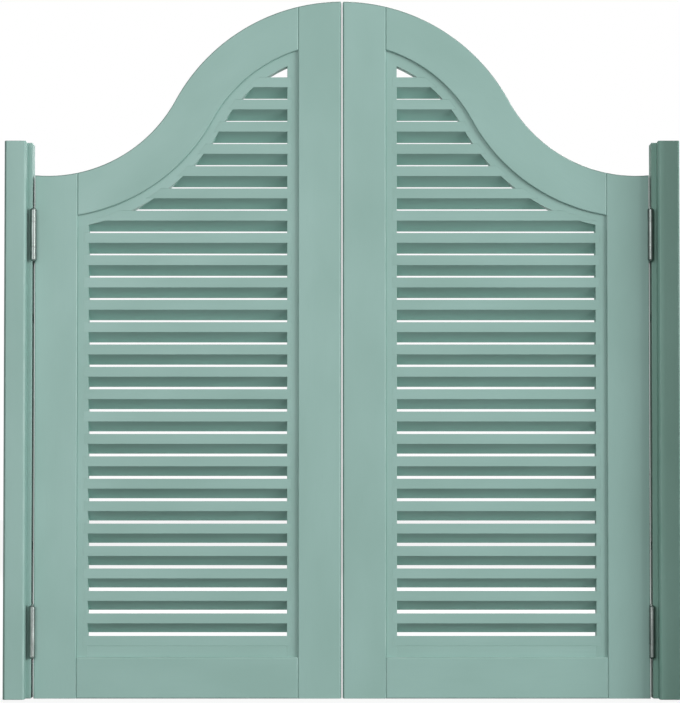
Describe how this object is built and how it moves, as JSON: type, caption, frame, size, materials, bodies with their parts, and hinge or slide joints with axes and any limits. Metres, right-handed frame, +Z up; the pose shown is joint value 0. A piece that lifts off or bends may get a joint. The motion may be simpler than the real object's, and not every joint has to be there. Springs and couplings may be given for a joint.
{
  "type": "louvered swing door",
  "caption": "Pair of painted wooden louvered swing leaves with S-curved tops, hung on double-action hinges between two rebated side posts.",
  "frame": {"origin": "middle of the doorway at the feet of the posts, on the leaves' mid-plane", "axes": "+X to the right seen from the front, +Y to the back, +Z up; the slats are higher at the front, which is -Y"},
  "size_m": [0.9732, 0.085, 1.01],
  "materials": {
    "painted_wood": "pale grey-green satin paint on wood",
    "bare_wood": "bare beech",
    "steel": "satin nickel-plated steel"
  },
  "bodies": {
    "frame": {"left_post": "painted_wood", "left_upper_jamb_flange": "steel", "left_upper_jamb_pin": "steel", "left_lower_jamb_flange": "steel", "left_lower_jamb_pin": "steel", "left_jamb_screws": "steel", "right_post": "painted_wood", "right_upper_jamb_flange": "steel", "right_upper_jamb_pin": "steel", "right_lower_jamb_flange": "steel", "right_lower_jamb_pin": "steel", "right_jamb_screws": "steel"},
    "left_hinge_webs": {"left_upper_hinge_web": "steel", "left_lower_hinge_web": "steel"},
    "left_leaf": {"left_hinge_stile": "painted_wood", "left_meeting_stile": "painted_wood", "left_top_rail": "painted_wood", "left_bottom_rail": "painted_wood", "left_hinge_side_liner": "painted_wood", "left_meeting_side_liner": "painted_wood", "left_bottom_liner": "painted_wood", "left_top_liner": "painted_wood", "left_full_slats": "painted_wood", "left_shaped_slats": "painted_wood", "left_dowels": "bare_wood", "left_upper_leaf_flange": "steel", "left_upper_leaf_pin": "steel", "left_lower_leaf_flange": "steel", "left_lower_leaf_pin": "steel", "left_leaf_screws": "steel"},
    "right_hinge_webs": {"right_upper_hinge_web": "steel", "right_lower_hinge_web": "steel"},
    "right_leaf": {"right_hinge_stile": "painted_wood", "right_meeting_stile": "painted_wood", "right_top_rail": "painted_wood", "right_bottom_rail": "painted_wood", "right_hinge_side_liner": "painted_wood", "right_meeting_side_liner": "painted_wood", "right_bottom_liner": "painted_wood", "right_top_liner": "painted_wood", "right_full_slats": "painted_wood", "right_shaped_slats": "painted_wood", "right_dowels": "bare_wood", "right_upper_leaf_flange": "steel", "right_upper_leaf_pin": "steel", "right_lower_leaf_flange": "steel", "right_lower_leaf_pin": "steel", "right_leaf_screws": "steel"}
  },
  "joints": [
    {"name": "left_front_swing", "type": "hinge", "parent": "frame", "child": "left_hinge_webs", "pos_m": [-0.4468, -0.0218, 0.383], "axis": [0, 0, -1], "range_deg": [0, 90], "stiffness_Nm_per_rad": 4},
    {"name": "left_back_swing", "type": "hinge", "parent": "left_hinge_webs", "child": "left_leaf", "pos_m": [-0.4468, 0.0218, 0.383], "axis": [0, 0, -1], "range_deg": [-90, 0], "stiffness_Nm_per_rad": 4},
    {"name": "right_back_swing", "type": "hinge", "parent": "frame", "child": "right_hinge_webs", "pos_m": [0.4468, 0.0218, 0.383], "axis": [0, 0, 1], "range_deg": [-90, 0], "stiffness_Nm_per_rad": 4},
    {"name": "right_front_swing", "type": "hinge", "parent": "right_hinge_webs", "child": "right_leaf", "pos_m": [0.4468, -0.0218, 0.383], "axis": [0, 0, 1], "range_deg": [0, 90], "stiffness_Nm_per_rad": 4}
  ]
}
